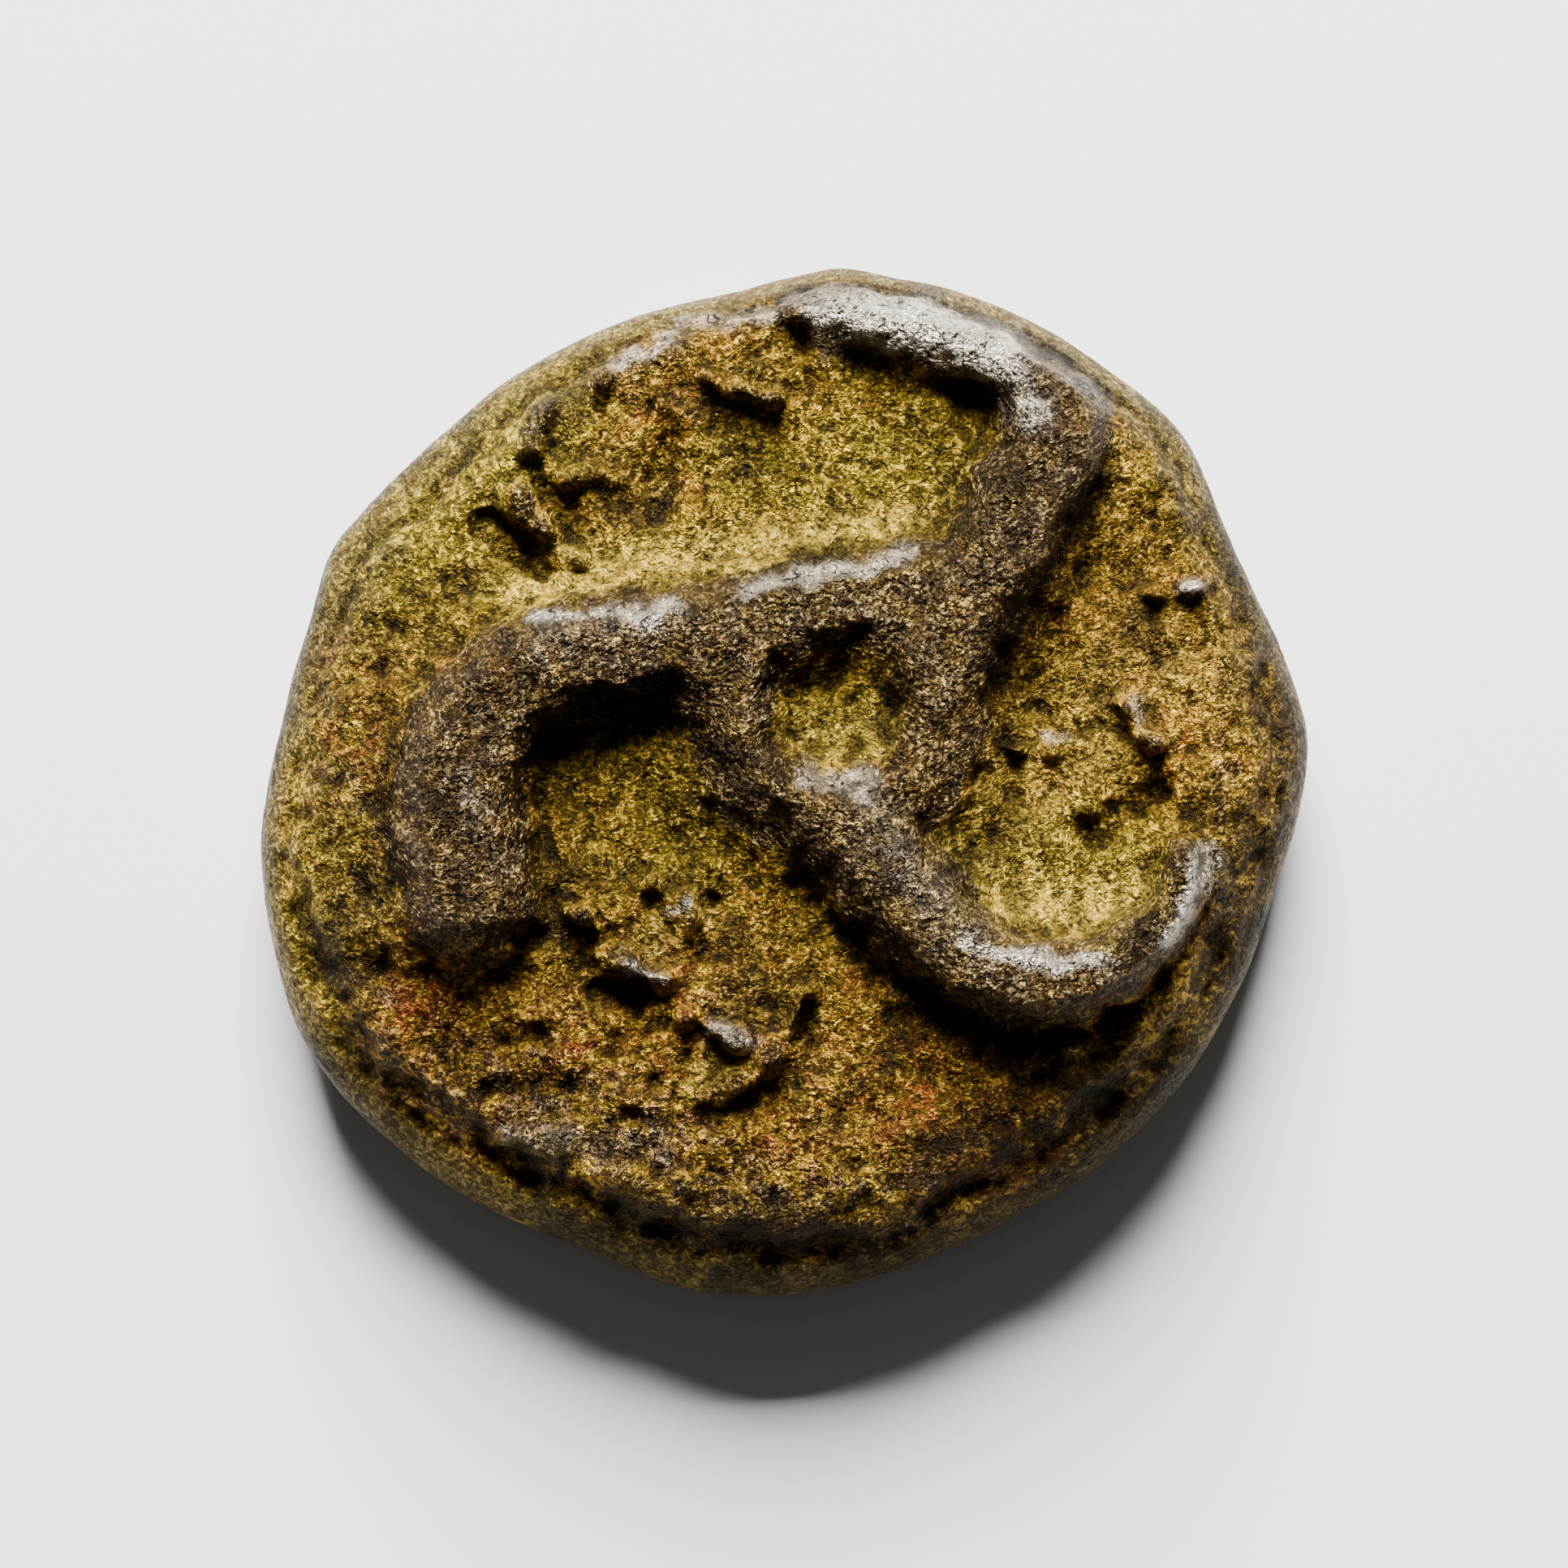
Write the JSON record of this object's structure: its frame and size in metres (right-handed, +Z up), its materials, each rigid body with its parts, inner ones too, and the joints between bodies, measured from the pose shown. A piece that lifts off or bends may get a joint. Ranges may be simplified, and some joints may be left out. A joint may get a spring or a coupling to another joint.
{
  "type": "ancient bronze coin",
  "caption": "Small thick hand-struck bronze coin with an uneven rounded edge, a worn three-armed whirl round a dished ring on the upper face and a worn star underneath.",
  "frame": {"origin": "middle of the coin's bounding box on the plane that it rests on", "axes": "+Z up out of the face with the three-armed whirl, through the coin's thickness; +X to the right and +Y to the top of that face as the picture shows it"},
  "size_m": [0.016, 0.0156, 0.0035],
  "materials": {
    "bronze": "worn struck bronze with a grainy brown and ochre patina"
  },
  "bodies": {
    "root": {"coin": "bronze"}
  },
  "joints": []
}
